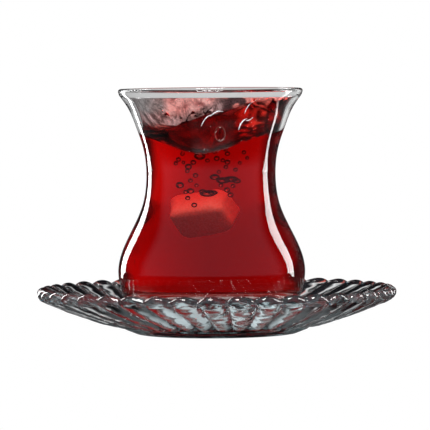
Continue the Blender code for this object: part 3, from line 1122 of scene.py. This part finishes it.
def seen_by_path(tree, through, mirrored, direct):
    """A colour straight to the camera, in a reflection, and through the glass."""
    path = add_node(tree, "ShaderNodeLightPath")
    reflected = math_node(tree, "MINIMUM", path.outputs["Glossy Depth"], 1.0)
    bounced = math_node(tree, "MULTIPLY", gone_through(tree), reflected)
    inner = mixed(tree, bounced, through, BOUNCED_LIGHT)
    first = mixed(tree, path.outputs["Is Reflection Ray"], inner, mirrored)
    return mixed(tree, path.outputs["Is Camera Ray"], first, direct)


def evened(tree, color):
    """A colour that is evened out in rays that have gone through the whole glass."""
    share = math_node(tree, "MULTIPLY", gone_through(tree), INNER_SHARE)
    return mixed(tree, share, color, INNER_LIGHT)


def direction_of(tree, vector):
    """Sockets x and y of a vector's direction in the plan."""
    flat = vector_node(tree, "MULTIPLY", vector, (1.0, 1.0, 0.0))["Vector"]
    unit = vector_node(tree, "NORMALIZE", flat)["Vector"]
    split = add_node(tree, "ShaderNodeSeparateXYZ", Vector=unit)
    return split.outputs["X"], split.outputs["Y"]


def lit_across(tree, shade, across):
    """A shade times the studio's brightness from left to right."""
    share = math_node(tree, "MULTIPLY", math_node(tree, "ADD", across, 1.0), 0.5)
    stops = [(position, (level, level, level)) for position, level in BACK_GLOW]
    return mixed(tree, 1.0, shade, color_ramp(tree, share, stops, 1.0), "MULTIPLY")


def floor_strip(tree, place, direction_deg, half_width):
    """1 in a strip of light on the floor, which narrows towards the glass."""
    angle = math.radians(direction_deg)
    ahead = vector_node(tree, "DOT_PRODUCT", place, (math.sin(angle), -math.cos(angle), 0.0))
    ahead = math_node(tree, "MAXIMUM", ahead["Value"], 0.001)
    aside = vector_node(tree, "DOT_PRODUCT", place, (math.cos(angle), math.sin(angle), 0.0))
    aside = math_node(tree, "ABSOLUTE", aside["Value"])
    ratio = math_node(tree, "DIVIDE", aside, math_node(tree, "POWER", ahead, STRIP_TAPER))
    limit = half_width / STRIP_DISTANCE**STRIP_TAPER
    inside = stepped(tree, ratio, 1.1 * limit, 0.85 * limit)
    inside = math_node(tree, "MULTIPLY", inside, stepped(tree, ahead, *STRIP_START))
    return math_node(tree, "MULTIPLY", inside, stepped(tree, ahead, *STRIP_END))


def make_floor():
    """A plain pale floor: white to the camera, shaded round the saucer in the glass."""
    mesh = bpy.data.meshes.new("floor")
    signs = ((-1.0, -1.0), (1.0, -1.0), (1.0, 1.0), (-1.0, 1.0))
    corners = [(x * FLOOR_HALF, y * FLOOR_HALF, 0.0) for x, y in signs]
    mesh.from_pydata(corners, [], [(0, 1, 2, 3)])
    floor = bpy.data.objects.new("floor", mesh)
    floor.location = (0.0, 0.0, -FLOOR_DROP)
    bpy.context.scene.collection.objects.link(floor)
    material, tree, shader, output = new_material("pale_floor")
    tree.nodes.remove(shader)
    place = add_node(tree, "ShaderNodeTexCoord").outputs["Object"]
    away = vector_node(tree, "LENGTH", place)["Value"]
    across, behind = direction_of(tree, place)
    front = color_ramp(tree, away, FLOOR_FRONT, FLOOR_REACH)
    side = color_ramp(tree, away, FLOOR_SIDE, FLOOR_REACH)
    back = color_ramp(tree, away, FLOOR_BACK, FLOOR_REACH)
    begun = stepped(tree, behind, *SIDE_START)
    beside = math_node(tree, "MULTIPLY", begun, stepped(tree, behind, *SIDE_END))
    shade = mixed(tree, beside, front, side)
    shade = mixed(tree, stepped(tree, behind, *BACK_START), shade, back)
    shade = lit_across(tree, evened(tree, shade), across)
    dim = mixed(tree, stepped(tree, behind, *MIRRORED_END), DARK, MIRRORED_ROOM)
    dim = mixed(tree, stepped(tree, away, *MIRRORED_FLOOR), DARK, dim)
    for name, direction, width in STRIPS:
        inside = floor_strip(tree, place, direction, 0.5 * width)
        dim = mixed(tree, inside, dim, (STRIP_RADIANCE,) * 3)
    seen = seen_by_path(tree, shade, dim, DIRECT_WHITE)
    glow = add_node(tree, "ShaderNodeEmission", Color=seen)
    fill_node(tree, output, Surface=glow.outputs["Emission"])
    mesh.materials.append(material)


def make_world():
    """White to the camera; to the glass, a bright band round the horizon under a dark ceiling."""
    world = bpy.data.worlds.new("studio")
    world.use_nodes = True
    tree = world.node_tree
    place = add_node(tree, "ShaderNodeTexCoord").outputs["Generated"]
    height = add_node(tree, "ShaderNodeSeparateXYZ", Vector=place).outputs["Z"]
    across, behind = direction_of(tree, place)
    shade = mixed(tree, stepped(tree, height, *SKY_EDGE), evened(tree, SKY_LOW), SKY_HIGH)
    shade = lit_across(tree, shade, across)
    dim = mixed(tree, stepped(tree, behind, *MIRRORED_END), DARK, MIRRORED_ROOM)
    seen = seen_by_path(tree, shade, dim, DIRECT_WHITE)
    fill_node(tree, tree.nodes["Background"], Color=seen)
    bpy.context.scene.world = world


def add_softbox(name, direction_deg, distance, height, size, radiance):
    """A rectangular softbox that faces the glass; 0 degrees is the camera's side."""
    angle = math.radians(direction_deg)
    place = Vector((math.sin(angle) * distance, -math.cos(angle) * distance, height))
    data = bpy.data.lights.new(name, "AREA")
    data.shape = "RECTANGLE"
    data.size, data.size_y = size
    data.energy = radiance * math.pi * size[0] * size[1]
    lamp = bpy.data.objects.new(name, data)
    lamp.location = place
    aim = Vector((0.0, 0.0, AIM_HEIGHT)) - place
    lamp.rotation_euler = aim.to_track_quat("-Z", "Y").to_euler()
    lamp.visible_camera = False
    lamp.visible_transmission = False
    bpy.context.scene.collection.objects.link(lamp)


def make_lights():
    """A tall strip on each side and a softbox above."""
    for name, direction, width in STRIPS:
        size = (width, STRIP_LENGTH)
        add_softbox(name, direction, STRIP_DISTANCE, STRIP_HEIGHT, size, STRIP_RADIANCE)
    size = (TOP_BOX_SIZE, TOP_BOX_SIZE)
    add_softbox("top_box", 0.0, TOP_BOX_DISTANCE, TOP_BOX_HEIGHT, size, TOP_BOX_RADIANCE)


def make_camera():
    """The photograph's long lens, just above the rim of the glass."""
    data = bpy.data.cameras.new("camera")
    data.sensor_fit = "HORIZONTAL"
    data.sensor_width = SENSOR_MM
    data.lens = SENSOR_MM * CAMERA_DISTANCE / (FRAME_PX * MM_PER_PX * MM)
    data.clip_start = 0.01
    camera = bpy.data.objects.new("camera", data)
    middle = FRAME_PX / 2.0
    eye = Vector((0.0, -CAMERA_DISTANCE, (FOOT_PX - EYE_LEVEL_PX) * MM_PER_PX * MM))
    target = Vector(((middle - AXIS_PX) * MM_PER_PX * MM, 0.0, (FOOT_PX - middle) * MM_PER_PX * MM))
    eye.x = target.x
    turn = (target - eye).to_track_quat("-Z", "Y").to_matrix() @ Matrix.Rotation(CAMERA_ROLL, 3, "Z")
    camera.matrix_world = Matrix.Translation(eye) @ turn.to_4x4()
    bpy.context.scene.collection.objects.link(camera)
    bpy.context.scene.camera = camera


def main():
    """Build every piece and the studio round it."""
    scene = bpy.context.scene
    scene.view_settings.view_transform = "Standard"
    scene.cycles.max_bounces = 32
    scene.cycles.transmission_bounces = 32
    scene.cycles.glossy_bounces = 12
    scene.cycles.diffuse_bounces = 4
    scene.cycles.transparent_max_bounces = 16
    make_camera()
    make_world()
    make_floor()
    make_lights()
    make_glass(cup_glass_material())
    make_saucer(saucer_glass_material())
    tea = tea_material()
    make_tea(tea)
    make_veil(veil_material())
    make_crests(crest_material())
    make_drop(tea)
    make_sugar(sugar_material())
    make_bubbles(bubble_material())


main()
